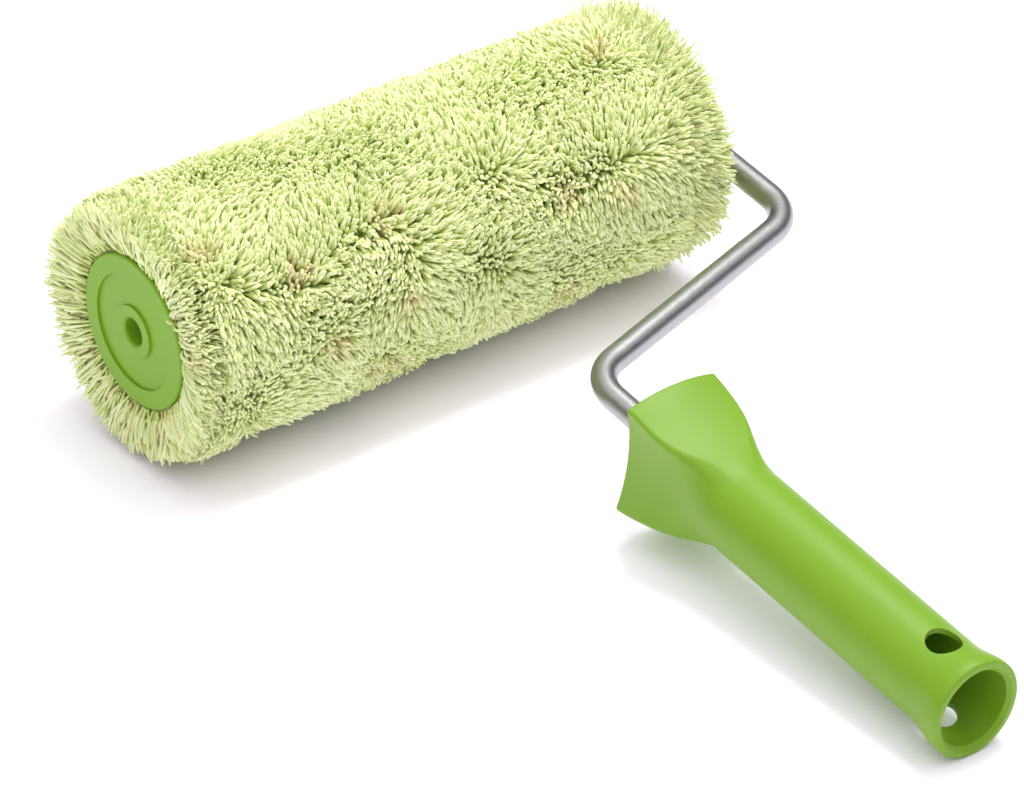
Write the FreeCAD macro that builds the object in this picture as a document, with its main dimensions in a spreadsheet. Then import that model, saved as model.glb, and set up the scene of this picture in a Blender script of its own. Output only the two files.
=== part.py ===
"""Paint roller: an 18 cm pile roller that turns on a bent 8 mm rod, with a moulded handle.

Frame of the model, in millimetres: +Z is up and the roller's axis runs along X. The roller's free
end is at -X, and the handle points towards -Y. It stands on z = 0 on the pile and on the handle's
lip. The origin is on the floor, in the middle of the overall length and width.

Roller pieces are drawn along X from the free end's cap face. The rod's plane is tilted about the
roller's axis, so that the handle's lip comes down to the floor.
"""

import FreeCAD, Part
import math
import os

import Sketcher

DIMENSIONS = {
    # roller core and pile
    "core_length": 180.0,
    "core_r": 24.0,
    "core_wall": 2.0,
    "backing_thick": 1.0,
    "backing_margin": 0.3,
    "pile_r": 42.0,
    "pile_over_free": 4.0,
    "pile_over_arm": 6.0,
    "pile_shoulder": 9.0,
    "pile_flare": 5.0,
    # end caps
    "flange_thick": 2.0,
    "flange_chamfer": 0.5,
    "recess_r": 18.0,
    "recess_depth": 0.8,
    "boss_r": 8.2,
    "plate_thick": 3.0,
    "skirt_length": 16.0,
    "skirt_wall": 1.6,
    "hub_length": 24.0,
    "hub_r": 9.0,
    "mouth_r": 4.3,
    "mouth_chamfer": 0.6,
    "land_from": 5.0,
    "land_to": 14.0,
    "rib_thick": 1.4,
    "rib_depth": 12.0,
    "rib_count": 6.0,
    # guide tube and snap collet
    "guide_r": 7.0,
    "guide_wall": 1.0,
    "collet_base": 4.0,
    "collet_length": 17.0,
    "finger_bore_r": 4.4,
    "finger_r": 5.2,
    "bead_r": 3.3,
    "bead_at": 28.0,
    "bead_half": 1.0,
    "bead_ramp": 1.0,
    "finger_slot": 1.2,
    "spring_wire_r": 0.35,
    "spring_turn": 318.0,
    # thrust washer and stop ring
    "washer_gap": 0.4,
    "washer_thick": 1.5,
    "washer_r": 9.5,
    "ring_gap": 0.3,
    "ring_thick": 1.2,
    "ring_r": 8.0,
    # rod
    "rod_r": 4.0,
    "rod_play": 0.08,
    "rod_tip_at": 6.0,
    "rod_chamfer": 1.0,
    "groove_r": 3.2,
    "groove_half": 1.9,
    "arm_at": 200.0,
    "arm_corner": 58.0,
    "run_corner": 87.2,
    "first_bend_r": 12.3,
    "arm_bend_r": 15.0,
    "stub_bend_r": 15.0,
    "rod_in_handle": 55.0,
    # handle
    "head_front": 121.0,
    "head_edge_r": 0.7,
    "head_rib": 7.5,
    "head_waist": 15.0,
    "head_shoulder": 20.5,
    "head_neck": 26.0,
    "head_length": 39.0,
    "round_lead": 3.0,
    "round_arc_from": 46.0,
    "round_arc_to": 66.0,
    "grip_r": 13.4,
    "handle_end": 257.3,
    "lip_r": 15.2,
    "lip_edge_r": 1.0,
    "lip_band": 4.0,
    "lip_slope": 8.0,
    "lip_cove_r": 22.0,
    "lip_crest_r": 7.0,
    "lip_waste": 4.0,
    "socket_chamfer": 1.2,
    "socket_r": 11.8,
    "socket_depth": 70.0,
    "hang_hole_r": 5.2,
    "hang_hole_at": 242.4,
}

# Outline of the handle's head at its stations: half width and half height where the side and the
# top would meet in a corner, half width in the middle of the sides, half height in the middle of
# the top, and the radius that rounds the corner.
HEAD_OUTLINES = {
    "front": (16.2, 18.3, 13.7, 20.9, 1.2),
    "rib": (15.8, 17.2, 13.2, 19.3, 1.2),
    "waist": (15.0, 15.7, 12.5, 17.4, 1.4),
    "shoulder": (13.3, 15.0, 12.1, 16.4, 2.0),
    "neck": (10.6, 14.4, 12.5, 15.2, 4.0),
}
OUTLINE_SIZES = ("corner_x", "corner_y", "mid_x", "mid_y", "corner_r")

REST_STEPS = 20
SAME_SPOT = 1e-6
NEAR = 0.01
PIECES = []


def new_sheet(doc):
    """The spreadsheet that holds every driving dimension, one alias each."""
    sheet = doc.addObject("Spreadsheet::Sheet", "dims")
    cells = dict(DIMENSIONS)
    for station, sizes in HEAD_OUTLINES.items():
        for name, size in zip(OUTLINE_SIZES, sizes):
            cells[f"{station}_{name}"] = size
    cells["tilt"], cells["axis_back"] = rest_pose(cells)
    for row, (alias, value) in enumerate(cells.items(), start=1):
        sheet.set(f"A{row}", alias)
        sheet.set(f"B{row}", repr(round(value, 6)))
        sheet.setAlias(f"B{row}", alias)
    doc.recompute()
    return sheet


def rest_pose(cells):
    """The rod plane's tilt that sets the lip on the floor, and how far back the roller's axis
    lies from the middle of the overall width. The mouth is cut upright, so the lip stands on the
    rounded lower edge of its face."""
    tilt = 0.0
    for _ in range(REST_STEPS):
        spared = cells["lip_edge_r"] * (math.tan(tilt) + 1 / math.cos(tilt) - 1)
        drop = cells["pile_r"] - cells["lip_r"] / math.cos(tilt) + spared
        tilt = math.asin(drop / cells["handle_end"])
    front = cells["handle_end"] * math.cos(tilt)
    return math.degrees(tilt), (front - cells["pile_r"]) / 2


def value(sheet, expression):
    """The number that an expression of the sheet's dimensions gives."""
    found = sheet.evalExpression(expression)
    return float(getattr(found, "Value", found))


def place(obj, sheet, along_roller, turn=None):
    """Puts a piece on the roller's axis, that far from the free end's cap face."""
    x = value(sheet, f"{along_roller} - dims.arm_at / 2")
    base = FreeCAD.Vector(x, value(sheet, "dims.axis_back"), value(sheet, "dims.pile_r"))
    obj.Placement = FreeCAD.Placement(base, turn or FreeCAD.Rotation())


def new_body(doc, label):
    body = doc.addObject("PartDesign::Body", label)
    body.Label = label
    PIECES.append(body)
    return body


def new_sketch(body, name, plane="XY_Plane", offset=None):
    """A sketch on one of the body's own origin planes, raised by an expression if one is given."""
    sketch = body.newObject("Sketcher::SketchObject", name)
    planes = [f for f in body.Origin.OriginFeatures if f.Role == plane]
    sketch.AttachmentSupport = [(planes[0], "")]
    sketch.MapMode = "FlatFace"
    if offset:
        sketch.setExpression("AttachmentOffset.Base.z", offset)
    return sketch


def bind(sketch, kind, *where):
    """Adds a sketch constraint whose last item is an expression, and binds it to the sheet."""
    sheet = sketch.Document.getObject("dims")
    *places, expression = where
    row = sketch.addConstraint(Sketcher.Constraint(kind, *places, value(sheet, expression)))
    sketch.setExpression(f"Constraints[{row}]", expression)


def fix_point(sketch, geometry, end, x, y):
    """Fixes a point of the sketch at two expressions. "0" means on the sketch's axis."""
    for kind, axis, expression in (("DistanceX", -2, x), ("DistanceY", -1, y)):
        if expression == "0":
            sketch.addConstraint(Sketcher.Constraint("PointOnObject", geometry, end, axis))
        else:
            bind(sketch, kind, -1, 1, geometry, end, expression)


def draw_outline(sketch, points):
    """A closed outline of straight edges through points given as pairs of expressions."""
    sheet = sketch.Document.getObject("dims")
    spots = [FreeCAD.Vector(value(sheet, x), value(sheet, y), 0) for x, y in points]
    last = len(points) - 1
    for i, spot in enumerate(spots):
        sketch.addGeometry(Part.LineSegment(spot, spots[(i + 1) % len(spots)]), False)
    for i in range(len(points)):
        after = 0 if i == last else i + 1
        sketch.addConstraint(Sketcher.Constraint("Coincident", i, 2, after, 1))
    for i, (x, y) in enumerate(points):
        fix_point(sketch, i, 1, x, y)


def draw_circle(sketch, x, y, radius):
    sheet = sketch.Document.getObject("dims")
    centre = FreeCAD.Vector(value(sheet, x), value(sheet, y), 0)
    up = FreeCAD.Vector(0, 0, 1)
    sketch.addGeometry(Part.Circle(centre, up, value(sheet, radius)), False)
    fix_point(sketch, 0, 3, x, y)
    bind(sketch, "Radius", 0, radius)


def revolve(body, name, sketch, axis="H_Axis", cut=False, angle=None):
    """A full or part turn of the sketch about one of its own axes, added or cut away."""
    kind = "PartDesign::Groove" if cut else "PartDesign::Revolution"
    feature = body.newObject(kind, name)
    feature.Profile = sketch
    feature.ReferenceAxis = (sketch, [axis])
    feature.Angle = 360
    if angle:
        feature.setExpression("Angle", angle)
    return feature


def turned(body, name, points, cut=False):
    """A piece turned about the body's X axis from an outline of (along, radius) points."""
    sketch = new_sketch(body, name + "_outline")
    draw_outline(sketch, points)
    return revolve(body, name, sketch, cut=cut)


def pocket_through(body, name, sketch):
    """Cuts the sketch right through the body, both ways."""
    feature = body.newObject("PartDesign::Pocket", name)
    feature.Profile = sketch
    feature.Type = "ThroughAll"
    feature.Midplane = True
    return feature


def pattern_about_x(body, name, feature, count):
    """Repeats a feature evenly about the body's X axis."""
    pattern = body.newObject("PartDesign::PolarPattern", name)
    pattern.Originals = [feature]
    axes = [f for f in body.Origin.OriginFeatures if f.Role == "X_Axis"]
    pattern.Axis = (axes[0], [""])
    pattern.Angle = 360
    pattern.setExpression("Occurrences", count)
    body.Tip = pattern
    return pattern


def edges_where(shape, test):
    """Names of the edges whose middle point passes a test, for a fillet or chamfer."""
    names = []
    for number, edge in enumerate(shape.Edges, start=1):
        middle = edge.valueAt((edge.FirstParameter + edge.LastParameter) / 2)
        if test(middle):
            names.append(f"Edge{number}")
    return names


def dress(body, kind, name, test, size):
    """A fillet or chamfer of the body's tip, on the edges that pass a test."""
    base = body.Tip
    feature = body.newObject(f"PartDesign::{kind}", name)
    feature.Base = (base, edges_where(base.Shape, test))
    feature.setExpression("Radius" if kind == "Fillet" else "Size", size)
    return feature


def make_core_tube(doc, sheet):
    body = new_body(doc, "core_tube")
    inner = "dims.core_r - dims.core_wall"
    turned(body, "Tube", [
        ("0", inner),
        ("dims.core_length", inner),
        ("dims.core_length", "dims.core_r"),
        ("0", "dims.core_r"),
    ])
    place(body, sheet, "dims.flange_thick")


def make_pile_backing(doc, sheet):
    body = new_body(doc, "pile_backing")
    outer = "dims.core_r + dims.backing_thick"
    end = "dims.core_length - dims.backing_margin"
    turned(body, "Backing", [
        ("dims.backing_margin", "dims.core_r"),
        (end, "dims.core_r"),
        (end, outer),
        ("dims.backing_margin", outer),
    ])
    place(body, sheet, "dims.flange_thick")


def make_pile_fleece(doc, sheet):
    """The pile as one plain ring, which flares past both ends of the core."""
    body = new_body(doc, "pile_fleece")
    inner = "dims.core_r + dims.backing_thick"
    flared = f"{inner} + dims.pile_flare"
    far = "dims.core_length + 2 * dims.flange_thick + dims.pile_over_arm"
    core_end = "dims.core_length + dims.flange_thick"
    turned(body, "Pile", [
        ("dims.flange_thick", inner),
        (core_end, inner),
        (far, flared),
        (far, "dims.pile_r"),
        ("-dims.pile_over_free", "dims.pile_r"),
        ("-dims.pile_over_free", flared),
    ])
    doc.recompute()
    top = value(sheet, "dims.pile_r")

    def on_rim(point):
        return math.hypot(point.y, point.z) > top - NEAR and abs(point.x) > NEAR

    dress(body, "Fillet", "Shoulders", on_rim, "dims.pile_shoulder")
    place(body, sheet, "0")


def make_end_cap(doc, sheet, label, along, turn=None):
    """A flanged plug: face with recess and boss, skirt in the core, ribbed hub with a bearing."""
    body = new_body(doc, label)
    skirt_r = "dims.core_r - dims.core_wall"
    skirt_in = f"{skirt_r} - dims.skirt_wall"
    land_r = "dims.rod_r + dims.rod_play"
    turned(body, "Plug", [
        ("dims.mouth_chamfer", "dims.mouth_r"),
        ("0", "dims.mouth_r + dims.mouth_chamfer"),
        ("0", "dims.boss_r"),
        ("dims.recess_depth", "dims.boss_r"),
        ("dims.recess_depth", "dims.recess_r"),
        ("0", "dims.recess_r"),
        ("0", "dims.core_r - dims.flange_chamfer"),
        ("dims.flange_chamfer", "dims.core_r"),
        ("dims.flange_thick", "dims.core_r"),
        ("dims.flange_thick", skirt_r),
        ("dims.skirt_length", skirt_r),
        ("dims.skirt_length", skirt_in),
        ("dims.plate_thick", skirt_in),
        ("dims.plate_thick", "dims.hub_r"),
        ("dims.hub_length", "dims.hub_r"),
        ("dims.hub_length", "dims.guide_r"),
        ("dims.land_to", "dims.guide_r"),
        ("dims.land_to", land_r),
        ("dims.land_from", land_r),
        ("dims.land_from", "dims.mouth_r"),
    ])
    sketch = new_sketch(body, "Rib_outline")
    low = "dims.hub_r - dims.skirt_wall / 2"
    high = f"{skirt_in} + dims.skirt_wall / 2"
    draw_outline(sketch, [
        ("dims.plate_thick", low),
        ("dims.rib_depth", low),
        ("dims.rib_depth", high),
        ("dims.plate_thick", high),
    ])
    rib = body.newObject("PartDesign::Pad", "Rib")
    rib.Profile = sketch
    rib.Midplane = True
    rib.setExpression("Length", "dims.rib_thick")
    doc.recompute()
    pattern_about_x(body, "Ribs", rib, "dims.rib_count")
    place(body, sheet, along, turn)


def make_guide_tube(doc, sheet):
    body = new_body(doc, "guide_tube")
    inner = "dims.guide_r - dims.guide_wall"
    end = "dims.core_length + 2 * dims.flange_thick - dims.land_to"
    turned(body, "Tube", [
        ("dims.land_to", inner),
        (end, inner),
        (end, "dims.guide_r"),
        ("dims.land_to", "dims.guide_r"),
    ])
    place(body, sheet, "0")


def make_snap_collet(doc, sheet):
    """A base ring in the guide tube with four spring fingers, whose beads drop in the groove."""
    body = new_body(doc, "snap_collet")
    outer = "dims.guide_r - dims.guide_wall"
    base_end = "dims.land_to + dims.collet_base"
    tip = "dims.land_to + dims.collet_length"
    bead_low = "dims.bead_at - dims.bead_half"
    bead_high = "dims.bead_at + dims.bead_half"
    turned(body, "Collet", [
        ("dims.land_to", "dims.finger_bore_r"),
        (f"{bead_low} - dims.bead_ramp / 2", "dims.finger_bore_r"),
        (bead_low, "dims.bead_r"),
        (bead_high, "dims.bead_r"),
        (f"{bead_high} + dims.bead_ramp", "dims.finger_bore_r"),
        (tip, "dims.finger_bore_r"),
        (tip, "dims.finger_r"),
        (base_end, "dims.finger_r"),
        (base_end, outer),
        ("dims.land_to", outer),
    ])
    sketch = new_sketch(body, "Slot_outline")
    draw_outline(sketch, [
        (base_end, "-dims.finger_slot / 2"),
        (f"{tip} + dims.bead_half", "-dims.finger_slot / 2"),
        (f"{tip} + dims.bead_half", "dims.finger_slot / 2"),
        (base_end, "dims.finger_slot / 2"),
    ])
    doc.recompute()
    slot = pocket_through(body, "Slot", sketch)
    doc.recompute()
    pattern_about_x(body, "Slots", slot, "4")
    place(body, sheet, "0")


def make_collet_spring(doc, sheet):
    """An open ring of spring wire round the fingers, over their beads."""
    body = new_body(doc, "collet_spring")
    sketch = new_sketch(body, "Wire_section")
    draw_circle(sketch, "dims.bead_at", "dims.finger_r + dims.spring_wire_r",
                "dims.spring_wire_r")
    revolve(body, "Ring", sketch, angle="dims.spring_turn")
    place(body, sheet, "0")


def make_thrust_washer(doc, sheet):
    body = new_body(doc, "thrust_washer")
    bore = "dims.rod_r + dims.rod_play"
    turned(body, "Washer", [
        ("0", bore),
        ("dims.washer_thick", bore),
        ("dims.washer_thick", "dims.washer_r"),
        ("0", "dims.washer_r"),
    ])
    place(body, sheet, "dims.core_length + 2 * dims.flange_thick + dims.washer_gap")


def make_stop_ring(doc, sheet):
    body = new_body(doc, "stop_ring")
    turned(body, "Ring", [
        ("0", "dims.rod_r"),
        ("dims.ring_thick", "dims.rod_r"),
        ("dims.ring_thick", "dims.ring_r"),
        ("0", "dims.ring_r"),
    ])
    before = "dims.washer_gap + dims.washer_thick + dims.ring_gap"
    place(body, sheet, f"dims.core_length + 2 * dims.flange_thick + {before}")


def draw_route(sketch, corners, radii):
    """An open route of straight runs joined by tangent arcs. The corners are pairs of
    expressions, the first and last being its ends, with one radius for each corner between."""
    sheet = sketch.Document.getObject("dims")
    spots = [FreeCAD.Vector(value(sheet, x), value(sheet, y), 0) for x, y in corners]
    sizes = [value(sheet, r) for r in radii]
    runs, bends, start = [], [], spots[0]
    for before, corner, after, size in zip(spots, spots[1:], spots[2:], sizes):
        towards = (before - corner).normalize()
        away = (after - corner).normalize()
        half = towards.getAngle(away) / 2
        inset = size / math.tan(half)
        middle = (towards + away).normalize() * (size / math.sin(half) - size)
        bend_from, bend_to = corner + towards * inset, corner + away * inset
        runs.append(Part.LineSegment(start, bend_from))
        bends.append(Part.Arc(bend_from, corner + middle, bend_to))
        start = bend_to
    runs.append(Part.LineSegment(start, spots[-1]))
    line = [sketch.addGeometry(run, False) for run in runs]
    arc = [sketch.addGeometry(bend, False) for bend in bends]
    fix_point(sketch, line[0], 1, *corners[0])
    fix_point(sketch, line[-1], 2, *corners[-1])
    for i, bend in enumerate(arc):
        mark = sketch.addGeometry(Part.Point(spots[i + 1]), True)
        fix_point(sketch, mark, 1, *corners[i + 1])
        for run in (line[i], line[i + 1]):
            sketch.addConstraint(Sketcher.Constraint("PointOnObject", mark, 1, run))
        joint = sketch.getPoint(line[i], 2)
        ends = (1, 2) if sketch.getPoint(bend, 1).distanceToPoint(joint) < 1e-6 else (2, 1)
        sketch.addConstraint(Sketcher.Constraint("Tangent", line[i], 2, bend, ends[0]))
        sketch.addConstraint(Sketcher.Constraint("Tangent", bend, ends[1], line[i + 1], 1))
        bind(sketch, "Radius", bend, radii[i])


def make_wire_frame(doc, sheet):
    """The bent rod, drawn in its own plane: axle along X, then arm, slanted run and stub."""
    body = new_body(doc, "wire_frame")
    route = new_sketch(body, "Route")
    handle_x = "dims.arm_at / 2"
    draw_route(
        route,
        [
            ("dims.rod_tip_at", "0"),
            ("dims.arm_at", "0"),
            ("dims.arm_at", "-dims.arm_corner"),
            (handle_x, "-dims.run_corner"),
            (handle_x, "-dims.head_front - dims.rod_in_handle"),
        ],
        ["dims.first_bend_r", "dims.arm_bend_r", "dims.stub_bend_r"],
    )
    section = new_sketch(body, "Section", "YZ_Plane", "dims.rod_tip_at")
    draw_circle(section, "0", "0", "dims.rod_r")
    rod = body.newObject("PartDesign::AdditivePipe", "Rod")
    rod.Profile = section
    rod.Spine = (route, [])
    turned(body, "Snap_groove", [
        ("dims.bead_at - dims.groove_half", "dims.groove_r"),
        ("dims.bead_at + dims.groove_half", "dims.groove_r"),
        ("dims.bead_at + dims.groove_half", "dims.rod_r + dims.rod_chamfer"),
        ("dims.bead_at - dims.groove_half", "dims.rod_r + dims.rod_chamfer"),
    ], cut=True)
    doc.recompute()
    tip = value(sheet, "dims.rod_tip_at")

    def on_tip(point):
        return abs(point.x - tip) < NEAR

    dress(body, "Chamfer", "Tip_chamfer", on_tip, "dims.rod_chamfer")
    tilt = FreeCAD.Rotation(FreeCAD.Vector(1, 0, 0), value(sheet, "dims.tilt"))
    place(body, sheet, "0", tilt)


def arc_through(corner_out, corner_up, middle_up):
    """Expressions for the radius and the centre's height of the arc that runs from one corner
    over its middle to the mirrored corner. The middle may lie below the corners."""
    rise = f"({middle_up} - {corner_up})"
    radius = f"(({corner_out})^2 + {rise}^2) / (2 * {rise})"
    return f"abs({radius})", f"{middle_up} - {radius}"


def meeting_point(first, first_r, second, second_r, near):
    """The point at these distances from two others, of the two such points the one near a third."""
    gap = second - first
    along = (first_r**2 - second_r**2 + gap.Length**2) / (2 * gap.Length)
    ahead = FreeCAD.Vector(gap).normalize()
    beside = FreeCAD.Vector(-ahead.y, ahead.x, 0) * math.sqrt(first_r**2 - along**2)
    spots = (first + ahead * along + beside, first + ahead * along - beside)
    return min(spots, key=near.distanceToPoint)


def draw_head_section(sketch, station):
    """Four arcs with rounded corners between them. The sides and the top bulge out to, or hollow
    in to, their own half width and half height."""
    sheet = sketch.Document.getObject("dims")
    corner_x, corner_y, mid_x, mid_y, corner_r = (f"dims.{station}_{n}" for n in OUTLINE_SIZES)
    top_r, top_at = arc_through(corner_x, corner_y, mid_y)
    side_r, side_at = arc_through(corner_y, corner_x, mid_x)
    corner = FreeCAD.Vector(value(sheet, corner_x), value(sheet, corner_y), 0)
    top = FreeCAD.Vector(0, value(sheet, top_at), 0)
    side = FreeCAD.Vector(value(sheet, side_at), 0, 0)
    round_r = value(sheet, corner_r)
    hollow = 1 if value(sheet, mid_x) < value(sheet, corner_x) else -1
    top_reach, side_reach = value(sheet, top_r) - round_r, value(sheet, side_r) + hollow * round_r
    bend = meeting_point(top, top_reach, side, side_reach, corner)
    on_top = top + (bend - top).normalize() * (top_reach + round_r)
    on_side = side + (bend - side).normalize() * value(sheet, side_r)
    outward = (on_top - bend) + (on_side - bend)
    on_bend = bend + outward.normalize() * round_r
    crown = FreeCAD.Vector(0, value(sheet, mid_y), 0)
    flank = FreeCAD.Vector(value(sheet, mid_x), 0, 0)

    def mirrored(spot, x, y):
        return FreeCAD.Vector(spot.x * x, spot.y * y, 0)

    loops = []  # start, middle and end of each rounded corner, going round
    for x, y in ((1, 1), (-1, 1), (-1, -1), (1, -1)):
        bend_ends = [mirrored(on_side, x, y), mirrored(on_top, x, y)]
        if x * y < 0:
            bend_ends.reverse()
        loops.append((bend_ends[0], mirrored(on_bend, x, y), bend_ends[1]))
    middles = [crown, mirrored(flank, -1, 1), mirrored(crown, 1, -1), flank]
    for i, loop in enumerate(loops):
        sketch.addGeometry(Part.Arc(*loop), False)
        sketch.addGeometry(Part.Arc(loop[2], middles[i], loops[(i + 1) % 4][0]), False)

    def end_at(arc, spot):
        return 1 if sketch.getPoint(arc, 1).distanceToPoint(spot) < SAME_SPOT else 2

    for i, loop in enumerate(loops):
        bend_arc, side_arc, next_arc = 2 * i, 2 * i + 1, (2 * i + 2) % 8
        for arc, spot in ((bend_arc, loop[2]), (next_arc, loops[(i + 1) % 4][0])):
            ends = (arc, end_at(arc, spot), side_arc, end_at(side_arc, spot))
            sketch.addConstraint(Sketcher.Constraint("Tangent", *ends))
        bind(sketch, "Radius", bend_arc, corner_r)
    for arc, sign in ((1, ""), (5, "-")):
        fix_point(sketch, arc, 3, "0", f"{sign}({top_at})")
        bind(sketch, "Radius", arc, top_r)
    for arc, sign in ((3, "-"), (7, "")):
        fix_point(sketch, arc, 3, f"{sign}({side_at})", "0")
        bind(sketch, "Radius", arc, side_r)


def draw_round_section(sketch, radius):
    """A circle in eight arcs, which meet where the arcs of the head's other sections meet."""
    sheet = sketch.Document.getObject("dims")
    quarter = [f"dims.round_arc_{n}" for n in ("from", "to")]
    angles = quarter + [f"180 - {a}" for a in reversed(quarter)]
    angles += [f"180 + {a}" for a in quarter] + [f"360 - {a}" for a in reversed(quarter)]
    size = value(sheet, radius)
    turns = [math.radians(value(sheet, angle)) for angle in angles]

    def on_circle(turn):
        return FreeCAD.Vector(size * math.cos(turn), size * math.sin(turn), 0)

    for i, turn in enumerate(turns):
        after = turns[i + 1] if i + 1 < len(turns) else turns[0] + 2 * math.pi
        arc = Part.Arc(on_circle(turn), on_circle((turn + after) / 2), on_circle(after))
        sketch.addGeometry(arc, False)
    for i, angle in enumerate(angles):
        sketch.addConstraint(Sketcher.Constraint("Coincident", i, 2, (i + 1) % len(angles), 1))
        bind(sketch, "Radius", i, radius)
        turn = f"({angle}) * 1 deg"
        fix_point(sketch, i, 1, f"{radius} * cos({turn})", f"{radius} * sin({turn})")


def make_handle(doc, sheet):
    """The moulded handle, drawn along its own Z axis from the roller's axis to the mouth, with
    its Y axis up. Its mouth and hanging hole are turned back by the tilt, so they are upright."""
    body = new_body(doc, "handle")
    sections = []
    for station in HEAD_OUTLINES:
        past = "" if station == "front" else f" + dims.head_{station}"
        sketch = new_sketch(body, f"Head_{station}", offset=f"dims.head_front{past}")
        draw_head_section(sketch, station)
        sections.append(sketch)
    grip_start = "dims.head_front + dims.head_length"
    for name, offset in (("Head_round", f"{grip_start} - dims.round_lead"),
                         ("Head_end", grip_start)):
        sketch = new_sketch(body, name, offset=offset)
        draw_round_section(sketch, "dims.grip_r")
        sections.append(sketch)
    head = body.newObject("PartDesign::AdditiveLoft", "Head")
    head.Profile = sections[0]
    head.Sections = sections[1:]
    doc.recompute()

    grip = new_sketch(body, "Grip_outline", "XZ_Plane")
    lip_start = "dims.handle_end - dims.lip_band"
    draw_outline(grip, [
        ("0", grip_start),
        ("dims.grip_r", grip_start),
        ("dims.grip_r", f"{lip_start} - dims.lip_slope"),
        ("dims.lip_r", lip_start),
        ("dims.lip_r", "dims.handle_end + dims.lip_waste"),
        ("0", "dims.handle_end + dims.lip_waste"),
    ])
    revolve(body, "Grip", grip, "V_Axis")
    doc.recompute()
    front = value(sheet, "dims.head_front")

    def on_front(point):
        return abs(point.z - front) < NEAR

    dress(body, "Fillet", "Front_edges", on_front, "dims.head_edge_r")
    doc.recompute()

    crest_at = value(sheet, lip_start)
    cove_at = value(sheet, f"{lip_start} - dims.lip_slope")

    def on_cove(point):
        return abs(point.z - cove_at) < NEAR

    def on_crest(point):
        return abs(point.z - crest_at) < NEAR

    dress(body, "Fillet", "Lip_cove", on_cove, "dims.lip_cove_r")
    doc.recompute()
    dress(body, "Fillet", "Lip_crest", on_crest, "dims.lip_crest_r")
    doc.recompute()

    cut = new_sketch(body, "Mouth_cut_outline", "YZ_Plane")
    lean = "dims.lip_r * 2 * tan(dims.tilt * 1 deg)"
    draw_outline(cut, [
        ("dims.lip_r * 2", f"dims.handle_end - {lean}"),
        ("dims.lip_r * 2", "dims.handle_end + dims.lip_waste * 3"),
        ("-dims.lip_r * 2", "dims.handle_end + dims.lip_waste * 3"),
        ("-dims.lip_r * 2", f"dims.handle_end + {lean}"),
    ])
    pocket_through(body, "Mouth_cut", cut)
    doc.recompute()
    end, slope = value(sheet, "dims.handle_end"), math.tan(math.radians(value(sheet, "dims.tilt")))

    def on_mouth(point):
        return abs(point.z + point.y * slope - end) < NEAR

    dress(body, "Fillet", "Lip_edge", on_mouth, "dims.lip_edge_r")
    doc.recompute()

    socket = new_sketch(body, "Socket_outline", "XZ_Plane")
    bottom = "dims.handle_end - dims.socket_depth"
    draw_outline(socket, [
        ("0", bottom),
        ("dims.socket_r", bottom),
        ("dims.socket_r", "dims.handle_end + dims.lip_waste"),
        ("0", "dims.handle_end + dims.lip_waste"),
    ])
    revolve(body, "Pole_socket", socket, "V_Axis", cut=True)
    doc.recompute()
    inner_r = value(sheet, "dims.socket_r")

    def on_socket_edge(point):
        return on_mouth(point) and math.hypot(point.x, point.y) < inner_r + 0.2

    dress(body, "Chamfer", "Socket_chamfer", on_socket_edge, "dims.socket_chamfer")
    doc.recompute()

    rod_hole = new_sketch(body, "Rod_hole_outline", "XZ_Plane")
    draw_outline(rod_hole, [
        ("0", "dims.head_front - dims.rod_r"),
        ("dims.rod_r", "dims.head_front - dims.rod_r"),
        ("dims.rod_r", "dims.head_front + dims.rod_in_handle"),
        ("0", "dims.head_front + dims.rod_in_handle"),
    ])
    revolve(body, "Rod_hole", rod_hole, "V_Axis", cut=True)
    doc.recompute()

    hang = new_sketch(body, "Hanging_hole_outline", "XZ_Plane")
    tilt = value(sheet, "dims.tilt")
    hang.AttachmentOffset = FreeCAD.Placement(
        FreeCAD.Vector(0, value(sheet, "dims.hang_hole_at"), 0),
        FreeCAD.Rotation(FreeCAD.Vector(1, 0, 0), -tilt),
    )
    hang.setExpression("AttachmentOffset.Base.y", "dims.hang_hole_at")
    draw_circle(hang, "0", "0", "dims.hang_hole_r")
    pocket_through(body, "Hanging_hole", hang)
    doc.recompute()
    turn = FreeCAD.Rotation(FreeCAD.Vector(1, 0, 0), 90 + tilt)
    place(body, sheet, "dims.arm_at / 2", turn)


def check(doc):
    """Stops if any object failed, or if a piece's shape isn't one valid solid or more."""
    for obj in doc.Objects:
        if "Invalid" in obj.State or "Error" in obj.State:
            raise RuntimeError(f"{obj.Name} failed: {obj.State}")
    for piece in PIECES:
        shape = piece.Shape
        if shape.isNull() or not shape.isValid() or not shape.Solids:
            raise RuntimeError(f"{piece.Label} has no valid solid")
        print(f"{piece.Label}: {len(shape.Solids)} solid, {shape.Volume / 1000:.2f} cm3")


def main():
    doc = FreeCAD.newDocument("paint_roller")
    sheet = new_sheet(doc)
    make_core_tube(doc, sheet)
    make_pile_backing(doc, sheet)
    make_pile_fleece(doc, sheet)
    make_end_cap(doc, sheet, "outer_end_cap", "0")
    half_turn = FreeCAD.Rotation(FreeCAD.Vector(0, 0, 1), 180)
    sleeve_length = "dims.core_length + 2 * dims.flange_thick"
    make_end_cap(doc, sheet, "inner_end_cap", sleeve_length, half_turn)
    make_guide_tube(doc, sheet)
    make_snap_collet(doc, sheet)
    make_collet_spring(doc, sheet)
    make_thrust_washer(doc, sheet)
    make_stop_ring(doc, sheet)
    make_wire_frame(doc, sheet)
    make_handle(doc, sheet)
    doc.recompute()
    check(doc)
    os.makedirs("parts", exist_ok=True)
    for piece in PIECES:
        piece.Shape.exportStep(f"parts/{piece.Label}.step")


main()
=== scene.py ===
"""Looks of the paint roller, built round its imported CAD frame.

The CAD nodes keep their shapes and get procedural materials. The pile is made here, tuft by tuft,
and stands for the plain ring pile_fleece. All sizes are in metres, in the frame of the CAD.
"""

import math

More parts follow.
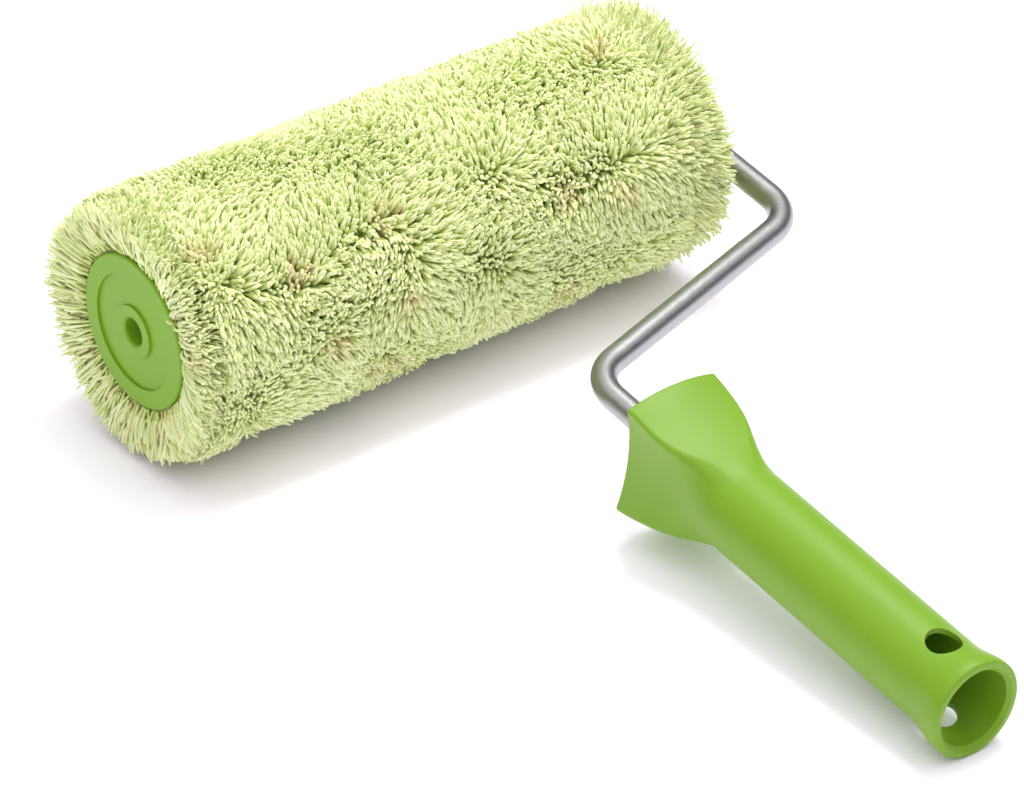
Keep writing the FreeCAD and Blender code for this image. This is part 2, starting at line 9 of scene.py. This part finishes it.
import bpy
import numpy as np
from mathutils import Matrix, Vector


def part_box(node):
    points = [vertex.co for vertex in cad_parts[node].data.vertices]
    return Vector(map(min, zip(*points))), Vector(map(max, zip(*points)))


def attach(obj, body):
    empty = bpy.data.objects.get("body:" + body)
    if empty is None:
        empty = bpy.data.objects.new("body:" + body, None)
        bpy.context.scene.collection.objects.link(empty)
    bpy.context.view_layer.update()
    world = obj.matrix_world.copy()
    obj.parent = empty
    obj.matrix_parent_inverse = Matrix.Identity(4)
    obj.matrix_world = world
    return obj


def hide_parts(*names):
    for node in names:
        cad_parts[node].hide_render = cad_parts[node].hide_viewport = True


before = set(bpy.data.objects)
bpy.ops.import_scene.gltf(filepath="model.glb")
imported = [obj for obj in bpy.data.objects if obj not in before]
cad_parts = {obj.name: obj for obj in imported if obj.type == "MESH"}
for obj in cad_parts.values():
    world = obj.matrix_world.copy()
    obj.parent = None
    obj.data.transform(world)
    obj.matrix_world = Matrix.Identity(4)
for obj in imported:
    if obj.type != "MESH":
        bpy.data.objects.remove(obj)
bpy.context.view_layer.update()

MM = 0.001
SEED = 11

# The roller and the rod, as the CAD has them.
pile_low, pile_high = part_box("pile_fleece")
backing_low, backing_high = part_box("pile_backing")
free_cap_low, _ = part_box("outer_end_cap")
_, arm_cap_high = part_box("inner_end_cap")
AXIS_Y = (pile_low.y + pile_high.y) / 2
AXIS_Z = (pile_low.z + pile_high.z) / 2
PILE_R = (pile_high.z - pile_low.z) / 2
BACKING_R = (backing_high.z - backing_low.z) / 2
FREE_FACE_X = free_cap_low.x
ARM_FACE_X = arm_cap_high.x
SLEEVE = ARM_FACE_X - FREE_FACE_X
_, wire_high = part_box("wire_frame")
ROD_WIDTH = 8 * MM
ROD_GAP = 1 * MM
REACH_MOST = wire_high.x - ROD_WIDTH - ARM_FACE_X - ROD_GAP

# Camera, at the viewing angle of the photograph.
CAMERA_AZIMUTH = -38.40
CAMERA_ELEVATION = 34.02
CAMERA_ROLL = 1.02
CAMERA_PLACE = Vector((-0.93456, -1.12239, 1.02125))
CAMERA_LENS = 216.92
CAMERA_SENSOR = 36.0

# Tufts of the pile. The coat is what is seen; the shorter fill stands between its roots.
TUFT_SIDES = 5
TUFT_RINGS = np.array([0.0, 0.22, 0.45, 0.68, 0.87, 0.97])
TUFT_SWELL = np.array([0.8, 1.0, 1.06, 1.04, 0.9, 0.58])
COAT_SPACING = 1.17 * MM
COAT_LENGTH = 6.6 * MM
COAT_WIDTH = 0.98 * MM
FILL_SPACING = 2.0 * MM
FILL_LENGTH = 5.4 * MM
FILL_WIDTH = 1.5 * MM
FILL_DIP = 1.4 * MM
FILL_LEAN = 0.35
UNDER_R = 35.2 * MM
CLUMP_SPACING = 3.6 * MM
CLUMP_PULL = 0.2
TILT_FROM = math.radians(10)
TILT_MOST = math.radians(70)
FAN_DEPTH = 13 * MM
FAN_TUFTS = 8000
FAN_WIDTH = 0.85 * MM
SHOULDER_LENGTH = 15.6 * MM
FREE_END_LENGTH = 15.4 * MM
FREE_END_FLARE = (33, -14, 1.0)
FREE_END_REACH = 7.5 * MM
FREE_END_LOPSIDED = (0, 0.0)
ARM_END_LENGTH = 20.5 * MM
ARM_END_FLARE = (66, 42, 0.5)
ARM_END_REACH = 12.6 * MM
ARM_END_LOPSIDED = (5, 0.36)
FAN_LATE_SHARE = 0.8
FAN_LATE_START = (1 * MM, 11 * MM)
FAN_SHORTEST = 4.2 * MM
FAN_LONGEST_LATE = 6.5 * MM
LEAST_RUN = 0.01 * MM
PILE_BANDS = 20
SEAM_PITCH = 64 * MM
SEAM_WIDTH = 5 * MM
SEAM_DIP = 0.9 * MM

# Where the yarn parts: distance from the free end's cap, in mm, and degrees round from the top
# towards the handle.
PARTINGS = (
    (10.6, 32), (14, 52), (37, 54), (54.5, 44), (70, 47), (80, 64), (71, 85),
    (114, 43), (132, 66), (150, 58), (151, 74), (166, 62), (167, 6), (105, 88),
    (44, 92),
)
PARTING_REACH = 9.5 * MM
PARTING_PULL = 0.95
HIDDEN_PARTINGS = 46

# Where the tufts' tips lie: below the CAD's surface, lower still by the arm, and unevenly.
TIP_INSET = 0.9 * MM
TIP_TAPER = 1.4 * MM
TIP_SCATTER = 0.55 * MM

# How unevenly the yarn leans, tuft by tuft and in long waves.
LEAN_SCATTER = 0.24
WAVE_LENGTH = 45 * MM
WAVE_SIZE = 0.23

# The side's tufts leave this much of each end to the fans, and all stay this far off the floor.
END_BAND = 7 * MM
FLOOR_GAP = 0.15 * MM

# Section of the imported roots: distances from an end of the sleeve, and the radius at each, in mm.
PACKED_ALONG = (2.2, 1.6, 1.8, 3.2, 6.0, 10.0)
PACKED_RADIUS = (24.9, 27.0, 30.0, 33.0, 35.0, 35.6)
PACKED_SIDES = 192

# Yarn colours, as linear red, green and blue: tips, middle and roots of each kind of tuft.
# The middle and the roots are darker step by step: painted shade, for the shade deep between the
# tufts.
YARN = {
    "pale": ((0.88, 0.94, 0.55), (0.72, 0.80, 0.31), (0.34, 0.40, 0.09)),
    "plain": ((0.83, 0.89, 0.47), (0.66, 0.74, 0.26), (0.31, 0.36, 0.08)),
    "deep": ((0.75, 0.82, 0.38), (0.58, 0.67, 0.21), (0.27, 0.32, 0.065)),
    "beige": ((0.82, 0.77, 0.42), (0.67, 0.57, 0.27), (0.36, 0.28, 0.10)),
}
YARN_SHARES = (0.36, 0.42, 0.22)
GREENS = 3
BEIGE = 3
TONES = 3
BEIGE_AT_ENDS = 0.06
BEIGE_AT_PARTINGS = 0.55
BEIGE_REACH = 5 * MM
# Colour of the ring of packed roots: darker than the yarn, as painted shade deep in the pile.
PAINTED_SHADE_ROOTS = (0.24, 0.29, 0.07)

FLOOR_HALF = 12
FLOOR_COLOUR = (0.925, 0.87, 1.0, 1)

# Brightness of the sky at heights from the horizon (0) to overhead (1).
SKY = ((0.0, 0.35), (0.18, 0.14), (0.45, 0.14), (0.7, 1.0), (1.0, 1.0))
SKY_STRENGTH = 1.2

# The floor glows faintly with painted light, and less where something stands closer than this
# clearance: a painted contact shadow.
FLOOR_GLOW = 0.3
FLOOR_GLOW_CLEARANCE = 25 * MM

# Each light's place, the point it faces, its size and its power in watts.
KEY_LIGHT = ((0.45, 0.2, 1.4), (0, 0, 0), 0.55, 15)
FILL_LIGHT = ((-1.2, -0.9, 0.9), (0, 0, 0.03), 1.0, 3.2)

PLASTIC_GREEN = (0.185, 0.365, 0.012)
CAP_GREEN = (0.20, 0.41, 0.012)


def add_camera():
    """The camera, placed by its own axes."""
    azimuth, elevation, roll = (
        math.radians(a) for a in (CAMERA_AZIMUTH, CAMERA_ELEVATION, CAMERA_ROLL)
    )
    back = Vector((
        math.sin(azimuth) * math.cos(elevation),
        -math.cos(azimuth) * math.cos(elevation),
        math.sin(elevation),
    ))
    level = (-back).cross(Vector((0, 0, 1))).normalized()
    upright = level.cross(-back)
    right = level * math.cos(roll) + upright * math.sin(roll)
    up = upright * math.cos(roll) - level * math.sin(roll)
    data = bpy.data.cameras.new("camera")
    data.lens = CAMERA_LENS
    data.sensor_width = CAMERA_SENSOR
    data.clip_start, data.clip_end = 0.1, 50
    camera = bpy.data.objects.new("camera", data)
    turn = Matrix((right, up, back)).transposed().to_4x4()
    camera.matrix_world = Matrix.Translation(CAMERA_PLACE) @ turn
    bpy.context.scene.collection.objects.link(camera)
    bpy.context.scene.camera = camera


def add_light(name, place, target, size, power):
    """A square soft light that faces a point."""
    data = bpy.data.lights.new(name, "AREA")
    data.size = size
    data.energy = power
    light = bpy.data.objects.new(name, data)
    light.location = place
    light.rotation_mode = "QUATERNION"
    light.rotation_quaternion = (Vector(target) - Vector(place)).to_track_quat("-Z", "Y")
    bpy.context.scene.collection.objects.link(light)


def new_material(name):
    """A node material with its Principled shader and node tree."""
    material = bpy.data.materials.new(name)
    material.use_nodes = True
    return material, material.node_tree, material.node_tree.nodes["Principled BSDF"]


def add_node(tree, kind, values=(), links=(), **settings):
    """A shader node with settings, input values and links from other nodes' sockets."""
    made = tree.nodes.new(kind)
    for key, setting in settings.items():
        setattr(made, key, setting)
    for socket, number in dict(values).items():
        made.inputs[socket].default_value = number
    for socket, source in dict(links).items():
        tree.links.new(source, made.inputs[socket])
    return made


def add_floor():
    """A wide pale floor with a faint painted glow that fades to painted contact shadow by the
    pieces, and a sky that is bright overhead and dim lower down.
    """
    half = FLOOR_HALF
    mesh = bpy.data.meshes.new("floor")
    corners = [(-half, -half, 0), (half, -half, 0), (half, half, 0), (-half, half, 0)]
    mesh.from_pydata(corners, [], [(0, 1, 2, 3)])
    floor = bpy.data.objects.new("floor", mesh)
    bpy.context.scene.collection.objects.link(floor)
    material, tree, shader = new_material("floor_white")
    shader.inputs["Base Color"].default_value = FLOOR_COLOUR
    shader.inputs["Roughness"].default_value = 0.9
    shader.inputs["Specular IOR Level"].default_value = 0.1
    shader.inputs["Emission Color"].default_value = (1, 1, 1, 1)
    # Painted glow, faded to a painted contact shadow where the pieces stand close.
    open_sky = add_node(
        tree, "ShaderNodeAmbientOcclusion", {"Distance": FLOOR_GLOW_CLEARANCE}, samples=6
    )
    glow = add_node(
        tree, "ShaderNodeMath", {1: FLOOR_GLOW}, {0: open_sky.outputs["AO"]}, operation="MULTIPLY"
    )
    tree.links.new(glow.outputs[0], shader.inputs["Emission Strength"])
    mesh.materials.append(material)

    world = bpy.data.worlds.new("studio")
    world.use_nodes = True
    tree = world.node_tree
    heading = add_node(tree, "ShaderNodeTexCoord").outputs["Generated"]
    height = add_node(tree, "ShaderNodeSeparateXYZ", links={"Vector": heading}).outputs["Z"]
    sky = add_node(tree, "ShaderNodeValToRGB", links={"Fac": height})
    ramp = sky.color_ramp
    for spot, grey in SKY[1:-1]:
        ramp.elements.new(spot).color = (grey, grey, grey, 1)
    for element, (_, grey) in ((ramp.elements[0], SKY[0]), (ramp.elements[-1], SKY[-1])):
        element.color = (grey, grey, grey, 1)
    background = tree.nodes["Background"]
    tree.links.new(sky.outputs["Color"], background.inputs["Color"])
    background.inputs["Strength"].default_value = SKY_STRENGTH
    bpy.context.scene.world = world


def moulded_plastic(name, colour, roughness, grain):
    """Moulded plastic: a fine spark-eroded skin, with slow changes of shade and gloss."""
    material, tree, shader = new_material(name)
    place = add_node(tree, "ShaderNodeTexCoord").outputs["Object"]
    cloud = add_node(tree, "ShaderNodeTexNoise", {"Scale": 38.0, "Detail": 3.0}, {"Vector": place})
    dark = tuple(c * 0.93 for c in colour) + (1,)
    light = tuple(min(1, c * 1.05) for c in colour) + (1,)
    shade = add_node(
        tree, "ShaderNodeMix", links={"Factor": cloud.outputs["Fac"]}, data_type="RGBA"
    )
    shade.inputs[6].default_value = dark
    shade.inputs[7].default_value = light
    tree.links.new(shade.outputs[2], shader.inputs["Base Color"])
    gloss = add_node(
        tree, "ShaderNodeMapRange", {"To Min": roughness - 0.05, "To Max": roughness + 0.07},
        {"Value": cloud.outputs["Fac"]},
    )
    tree.links.new(gloss.outputs["Result"], shader.inputs["Roughness"])
    skin = add_node(
        tree, "ShaderNodeTexNoise", {"Scale": 2600.0, "Detail": 2.0}, {"Vector": place}
    )
    bump = add_node(
        tree, "ShaderNodeBump", {"Strength": grain, "Distance": 0.05 * MM},
        {"Height": skin.outputs["Fac"]},
    )
    tree.links.new(bump.outputs["Normal"], shader.inputs["Normal"])
    shader.inputs["IOR"].default_value = 1.49
    shader.inputs["Specular IOR Level"].default_value = 0.4
    return material


def plated_steel(name, colour, roughness):
    """Zinc plate, with a cloudy change of shade and gloss and a fine grain."""
    material, tree, shader = new_material(name)
    place = add_node(tree, "ShaderNodeTexCoord").outputs["Object"]
    mottle = add_node(
        tree, "ShaderNodeTexNoise", {"Scale": 700.0, "Detail": 4.0}, {"Vector": place}
    )
    gloss = add_node(
        tree, "ShaderNodeMapRange", {"To Min": roughness - 0.06, "To Max": roughness + 0.1},
        {"Value": mottle.outputs["Fac"]},
    )
    tree.links.new(gloss.outputs["Result"], shader.inputs["Roughness"])
    shade = add_node(
        tree, "ShaderNodeMix", links={"Factor": mottle.outputs["Fac"]}, data_type="RGBA"
    )
    shade.inputs[6].default_value = tuple(c * 0.72 for c in colour) + (1,)
    shade.inputs[7].default_value = tuple(colour) + (1,)
    tree.links.new(shade.outputs[2], shader.inputs["Base Color"])
    marks = add_node(
        tree, "ShaderNodeTexNoise", {"Scale": 1500.0, "Detail": 2.0}, {"Vector": place}
    )
    bump = add_node(
        tree, "ShaderNodeBump", {"Strength": 0.12, "Distance": 0.02 * MM},
        {"Height": marks.outputs["Fac"]},
    )
    tree.links.new(bump.outputs["Normal"], shader.inputs["Normal"])
    shader.inputs["Metallic"].default_value = 1.0
    return material


def yarn_material(name, colour):
    """Soft yarn of one plain colour, with a faint sheen."""
    material, _, shader = new_material(name)
    shader.inputs["Base Color"].default_value = (*colour, 1)
    shader.inputs["Roughness"].default_value = 0.95
    shader.inputs["Specular IOR Level"].default_value = 0.15
    shader.inputs["Sheen Weight"].default_value = 0.25
    shader.inputs["Sheen Roughness"].default_value = 0.6
    shader.inputs["Sheen Tint"].default_value = (0.95, 1.0, 0.8, 1)
    return material


def dress_cad():
    """Gives each CAD node its material."""
    handle = moulded_plastic("handle_green", PLASTIC_GREEN, 0.46, 0.35)
    cap = moulded_plastic("cap_green", CAP_GREEN, 0.5, 0.35)
    inner = moulded_plastic("inner_white", (0.78, 0.79, 0.78), 0.45, 0.2)
    core = moulded_plastic("core_grey", (0.55, 0.56, 0.54), 0.55, 0.3)
    backing = moulded_plastic("backing_cloth", (0.62, 0.66, 0.36), 0.9, 1.0)
    steel = plated_steel("plated_steel", (0.43, 0.43, 0.425), 0.33)
    spring = plated_steel("spring_steel", (0.62, 0.62, 0.62), 0.3)
    for node, material in (
        ("handle", handle), ("outer_end_cap", cap), ("inner_end_cap", cap),
        ("guide_tube", inner), ("snap_collet", inner), ("thrust_washer", inner),
        ("core_tube", core), ("pile_backing", backing), ("wire_frame", steel),
        ("stop_ring", steel), ("collet_spring", spring),
    ):
        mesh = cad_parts[node].data
        mesh.materials.clear()
        mesh.materials.append(material)


def wrap(distance, turn):
    """A distance round the pile, brought to within half a turn."""
    return (distance + turn / 2) % turn - turn / 2


def jittered_grid(width, height, spacing, rng):
    """Evenly scattered places on a width by height strip that joins up across its height."""
    rows = round(height / spacing)
    columns = round(width / spacing)
    across, up = np.meshgrid(np.arange(columns), np.arange(rows), indexing="ij")
    across = across + 0.25 + 0.5 * (up % 2) + rng.uniform(-0.42, 0.42, across.shape)
    up = up + rng.uniform(-0.42, 0.42, up.shape)
    return across.ravel() / columns * width, up.ravel() / rows * height % height


def parting_places(rng, turn):
    """Centres of the partings, along the sleeve and round it at the pile's surface."""
    along = [u * MM for u, _ in PARTINGS]
    around = [turn * angle / 360 for _, angle in PARTINGS]
    shown_to = turn * 115 / 360
    shown_from = -turn * 20 / 360
    for _ in range(HIDDEN_PARTINGS):
        along.append(rng.uniform(8, 176) * MM)
        around.append(rng.uniform(shown_to, turn + shown_from))
    return np.array(along), np.array(around)


def lie_of_pile(along, around, partings, waves, turn):
    """Which way the yarn leans, along and round the sleeve, as a vector from about 0 to 1."""
    lean = np.zeros((len(along), 2))
    for centre_along, centre_around in zip(*partings):
        away = np.stack([along - centre_along, wrap(around - centre_around, turn)], 1)
        far = np.hypot(*away.T) / PARTING_REACH
        pull = PARTING_PULL * np.exp(0.5 * (1 - far**2))
        lean += away / PARTING_REACH * pull[:, None]
    for heading, wave_along, wave_around, phase, size in waves:
        swing = np.sin(wave_along * along + wave_around * around + phase) * size
        lean += swing[:, None] * np.array([math.cos(heading), math.sin(heading)])
    return lean


def slow_waves(rng, turn, count=9):
    """Long waves of lean that fit whole times round the sleeve."""
    waves = []
    for _ in range(count):
        heading = rng.uniform(0, 2 * math.pi)
        wave_along = rng.uniform(-1, 1) * 2 * math.pi / WAVE_LENGTH
        wave_around = rng.integers(-6, 7) * 2 * math.pi / turn
        waves.append((heading, wave_along, wave_around, rng.uniform(0, 6.28), WAVE_SIZE))
    return waves


def nearest_clump(along, around, clump_along, clump_around, turn):
    """For each tuft, the vector to its nearest clump's middle."""
    found = np.empty((len(along), 2))
    for first in range(0, len(along), 1000):
        part = slice(first, first + 1000)
        du = clump_along[None, :] - along[part, None]
        dv = wrap(clump_around[None, :] - around[part, None], turn)
        best = np.argmin(du**2 + dv**2, 1)
        rows = np.arange(len(best))
        found[part] = np.stack([du[rows, best], dv[rows, best]], 1)
    return found


def centre_lines(root, out, lie, length, tilt_from, tilt_to):
    """Each tuft's centre line, which bends from tilt_from to tilt_to off `out` towards `lie`."""
    steps = np.append(TUFT_RINGS, 1.0)
    middle = (steps[1:] + steps[:-1]) / 2
    tilt = tilt_from[:, None] + (tilt_to - tilt_from)[:, None] * middle
    piece = np.diff(steps) * length[:, None]
    zero = np.zeros((len(root), 1))
    rise = np.concatenate([zero, np.cumsum(np.cos(tilt) * piece, 1)], 1)
    run = np.concatenate([zero, np.cumsum(np.sin(tilt) * piece, 1)], 1)
    return root[:, None] + rise[..., None] * out[:, None] + run[..., None] * lie[:, None]


def frame_at(angle):
    """Unit vectors out of the sleeve and round it, at angles from the top towards the handle."""
    nought = np.zeros_like(angle)
    out = np.stack([nought, -np.sin(angle), np.cos(angle)], 1)
    around = np.stack([nought, -np.cos(angle), -np.sin(angle)], 1)
    return out, around


def envelope(along, around, turn, rng):
    """Radius that the tufts' tips reach, with the dips along the seams of the wound cloth."""
    taper = PILE_R - TIP_INSET - TIP_TAPER * along / SLEEVE
    seam = wrap(along - around / turn * SEAM_PITCH, SEAM_PITCH)
    dip = SEAM_DIP * np.exp(-((seam / SEAM_WIDTH) ** 2))
    return taper - dip + rng.normal(0, TIP_SCATTER, len(along))


def side_tufts(rng, partings, waves, turn, fill=False):
    """Tufts on the round of the sleeve: its coat, or the fill."""
    spacing = FILL_SPACING if fill else COAT_SPACING
    along, around = jittered_grid(SLEEVE - 2 * END_BAND, turn, spacing, rng)
    along = along + END_BAND
    clumps = jittered_grid(SLEEVE, turn, CLUMP_SPACING, rng)
    lean = lie_of_pile(along, around, partings, waves, turn)
    lean += CLUMP_PULL * nearest_clump(along, around, *clumps, turn) / MM
    lean += rng.normal(0, LEAN_SCATTER, lean.shape)
    lean *= FILL_LEAN if fill else 1
    size = np.hypot(*lean.T)
    heading = lean / np.maximum(size, 1e-9)[:, None]
    angle = around / turn * 2 * math.pi
    out, round_way = frame_at(angle)
    lie = heading[:, :1] * np.array([[1.0, 0, 0]]) + heading[:, 1:] * round_way
    length = (FILL_LENGTH if fill else COAT_LENGTH) * rng.uniform(0.82, 1.18, len(along))
    tilt_to = TILT_MOST * np.tanh(0.15 + size)
    root = out * UNDER_R
    root[:, 0] = along
    lines = centre_lines(root, out, lie, length, np.full(len(along), TILT_FROM), tilt_to)
    reach = np.hypot(lines[..., 1], lines[..., 2]).max(1)
    top = envelope(along, around, turn, rng) - (FILL_DIP if fill else 0)
    lines += ((top - reach)[:, None] * out)[:, None]
    width = (FILL_WIDTH if fill else COAT_WIDTH) * rng.uniform(0.75, 1.2, len(along))
    return lines, np.cross(out, lie), width, tuft_kinds(along, around, partings, turn, rng)


def end_tufts(rng, outer_length, flare, reach, lopsided):
    """Tufts that fan out over an end, from the cap's rim to the shoulder. Distances along are
    from the cap's face. The flare is the tilt of the outermost tufts at root and tip, and how
    fast it grows towards the end. Late tufts leave the fan further out, and break it up. The
    yarn reaches furthest at one angle from the top, and by the given share more than on average,
    but stays clear of the rod's arm as the roller turns."""
    depth = FAN_DEPTH * rng.uniform(0, 1, FAN_TUFTS) ** 1.2
    angle = rng.uniform(0, 2 * math.pi, FAN_TUFTS)
    out, round_way = frame_at(angle)
    edge = (1 - depth / FAN_DEPTH) ** flare[2]
    far_side, share = lopsided
    swell = 1 + share * np.cos(angle - math.radians(far_side))
    late = rng.uniform(0, 1, FAN_TUFTS) < FAN_LATE_SHARE
    start = np.where(late, rng.uniform(*FAN_LATE_START, FAN_TUFTS), 0)
    unrest = np.where(late, 1.6, 1.0)
    swirl = rng.normal(0, 0.5, FAN_TUFTS) * unrest
    lie = np.array([[-1.0, 0, 0]]) + swirl[:, None] * round_way
    lie /= np.linalg.norm(lie, axis=1)[:, None]
    at_root, at_tip = np.radians(flare[:2])
    tilt_from = at_root * edge + rng.normal(0, 0.16, FAN_TUFTS) * unrest
    tilt_to = at_tip * edge + rng.normal(0, 0.3, FAN_TUFTS) * unrest
    root = out * (BACKING_R - 0.4 * MM + start)[:, None]
    root[:, 0] = 0.6 * MM + depth - start * np.tan(0.5 * at_root * edge)
    length = SHOULDER_LENGTH + (outer_length * swell**0.2 - SHOULDER_LENGTH) * edge
    length = length * rng.normal(0.97, 0.06, FAN_TUFTS) - start
    length = np.where(late, np.minimum(length, FAN_LONGEST_LATE), length)
    length = np.maximum(length, FAN_SHORTEST * rng.uniform(0.85, 1.2, FAN_TUFTS))
    lines = centre_lines(root, out, lie, length, tilt_from, tilt_to)
    limit = np.minimum(reach * swell, REACH_MOST) * rng.uniform(0.6, 1.0, FAN_TUFTS)
    spare = (root[:, 0] + limit) / np.maximum(root[:, 0] - lines[..., 0].min(1), LEAST_RUN)
    pulled_in = np.clip(spare, 0, 1)[:, None]
    lines[..., 0] = root[:, :1] + (lines[..., 0] - root[:, :1]) * pulled_in
    width = FAN_WIDTH * rng.uniform(0.75, 1.25, FAN_TUFTS)
    kinds = rng.choice(GREENS, FAN_TUFTS, p=YARN_SHARES)
    kinds[rng.uniform(0, 1, FAN_TUFTS) < BEIGE_AT_ENDS] = BEIGE
    return lines, np.cross(out, lie), width, kinds


def tuft_kinds(along, around, partings, turn, rng):
    """Which yarn each tuft is. The beige ones gather at some of the partings."""
    kinds = rng.choice(GREENS, len(along), p=YARN_SHARES)
    for number, (u, v) in enumerate(zip(*partings)):
        if number % 2 == 0:
            far = np.hypot(along - u, wrap(around - v, turn))
            near = far < BEIGE_REACH
            kinds[near & (rng.uniform(0, 1, len(along)) < BEIGE_AT_PARTINGS)] = BEIGE
    return kinds


def sweep(lines, side, width):
    """Vertices of the tufts: a ring at each step of the line, then the tip."""
    steps = lines[:, 1:] - lines[:, :-1]
    ahead = steps / np.linalg.norm(steps, axis=2)[..., None]
    across = np.cross(ahead, side[:, None])
    turns = np.arange(TUFT_SIDES) / TUFT_SIDES * 2 * math.pi
    ring = (
        np.cos(turns)[:, None] * side[:, None, None] + np.sin(turns)[:, None] * across[:, :, None]
    )
    radius = width[:, None] / 2 * TUFT_SWELL
    rings = lines[:, :-1, None] + ring * radius[..., None, None]
    return np.concatenate([rings.reshape(len(lines), -1, 3), lines[:, -1:]], 1)


def tuft_faces():
    """Corner numbers of one tuft's quads and tip triangles, and which third each lies in."""
    quads, tips, bands = [], [], []
    rings = len(TUFT_RINGS)
    for ring in range(rings - 1):
        for side in range(TUFT_SIDES):
            after = (side + 1) % TUFT_SIDES
            low, high = ring * TUFT_SIDES, (ring + 1) * TUFT_SIDES
            quads.append((low + side, high + side, high + after, low + after))
            bands.append(2 if ring < 1 else 1 if ring < 3 else 0)
    for side in range(TUFT_SIDES):
        top = (rings - 1) * TUFT_SIDES
        tips.append((top + side, rings * TUFT_SIDES, top + (side + 1) % TUFT_SIDES))
        bands.append(0)
    return np.array(quads), np.array(tips), np.array(bands)


def add_tufts(name, points, kinds, less_painted_shade, materials):
    """One mesh piece that holds many tufts, each darker towards the root by painted shade. Tufts
    with less painted shade have the middle colour at the root and the tip's colour all the way from
    there."""
    quads, tips, bands = tuft_faces()
    count, per_tuft = points.shape[:2]
    starts = np.arange(count)[:, None] * per_tuft
    corners = np.concatenate([
        (starts + quads.ravel()[None]).reshape(count, -1),
        (starts + tips.ravel()[None]).reshape(count, -1),
    ], 1)
    totals = np.tile(np.array([4] * len(quads) + [3] * len(tips)), count)
    mesh = bpy.data.meshes.new(name)
    mesh.vertices.add(count * per_tuft)
    mesh.vertices.foreach_set("co", points.astype(np.float32).ravel())
    mesh.loops.add(corners.size)
    mesh.loops.foreach_set("vertex_index", corners.astype(np.int32).ravel())
    mesh.polygons.add(len(totals))
    loop_starts = np.concatenate([[0], np.cumsum(totals)[:-1]])
    mesh.polygons.foreach_set("loop_start", loop_starts.astype(np.int32))
    # Colours darken towards the root as painted shade; the end fans' tufts get one step less of it.
    shades = np.where(less_painted_shade[:, None], bands[None] // 2, bands[None])
    slots = (kinds[:, None] * TONES + shades).ravel()
    for material in materials:
        mesh.materials.append(material)
    mesh.polygons.foreach_set("material_index", slots.astype(np.int32))
    mesh.polygons.foreach_set("use_smooth", np.ones(len(totals), bool))
    mesh.update(calc_edges=True)
    piece = bpy.data.objects.new(name, mesh)
    bpy.context.scene.collection.objects.link(piece)
    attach(piece, "roller")
    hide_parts("pile_fleece")


def add_under_pile(material):
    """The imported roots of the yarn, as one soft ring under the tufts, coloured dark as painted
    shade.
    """
    along = np.array(PACKED_ALONG) * MM
    radius = np.array(PACKED_RADIUS) * MM
    far = SLEEVE - along[::-1]
    profile = list(zip(along, radius)) + list(zip(far, radius[::-1]))
    points, faces = [], []
    for x, r in profile:
        for k in range(PACKED_SIDES):
            a = 2 * math.pi * k / PACKED_SIDES
            points.append((FREE_FACE_X + x, AXIS_Y + r * math.cos(a), AXIS_Z + r * math.sin(a)))
    rings = len(profile)
    for i in range(rings):
        for k in range(PACKED_SIDES):
            here = i * PACKED_SIDES
            beside = (i + 1) % rings * PACKED_SIDES
            after = (k + 1) % PACKED_SIDES
            faces.append((here + k, here + after, beside + after, beside + k))
    mesh = bpy.data.meshes.new("pile_roots")
    mesh.from_pydata(points, [], faces)
    mesh.materials.append(material)
    mesh.update()
    piece = bpy.data.objects.new("pile_roots", mesh)
    bpy.context.scene.collection.objects.link(piece)
    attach(piece, "roller")
    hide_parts("pile_fleece")


def add_pile():
    """The whole pile, in bands along the sleeve."""
    rng = np.random.default_rng(SEED)
    turn = 2 * math.pi * PILE_R
    partings = parting_places(rng, turn)
    waves = slow_waves(rng, turn)
    materials = []
    # The middle and root materials of each kind hold the painted shade between the tufts.
    for kind, colours in YARN.items():
        for part, colour in zip(("tip", "middle", "root"), colours):
            materials.append(yarn_material(f"yarn_{kind}_{part}", colour))
    groups = [side_tufts(rng, partings, waves, turn)]
    groups.append(side_tufts(rng, partings, waves, turn, fill=True))
    groups.append(end_tufts(
        rng, FREE_END_LENGTH, FREE_END_FLARE, FREE_END_REACH, FREE_END_LOPSIDED
    ))
    lines, side, width, kinds = end_tufts(
        rng, ARM_END_LENGTH, ARM_END_FLARE, ARM_END_REACH, ARM_END_LOPSIDED
    )
    lines[..., 0] = SLEEVE - lines[..., 0]
    groups.append((lines, side * np.array([1, -1, -1]), width, kinds))
    on_side = [len(group[0]) for group in groups[:2]]
    lines, side, width, kinds = (np.concatenate(part) for part in zip(*groups))
    # The end fans' tufts carry one step less of the painted shade at the roots.
    less_painted_shade = np.arange(len(lines)) >= sum(on_side)
    points = sweep(lines, side, width)
    points += np.array([FREE_FACE_X, AXIS_Y, AXIS_Z])
    points[..., 2] = np.maximum(points[..., 2], FLOOR_GAP)
    order = np.argsort(lines[:, 0, 0], kind="stable")
    for number, members in enumerate(np.array_split(order, PILE_BANDS), start=1):
        add_tufts(
            f"pile_band_{number:02d}", points[members], kinds[members], less_painted_shade[members], materials
        )
    add_under_pile(yarn_material("yarn_roots_painted_shade", PAINTED_SHADE_ROOTS))


bpy.context.scene.view_settings.view_transform = "Standard"
add_camera()
add_floor()
add_light("key", *KEY_LIGHT)
add_light("fill", *FILL_LIGHT)
dress_cad()
add_pile()
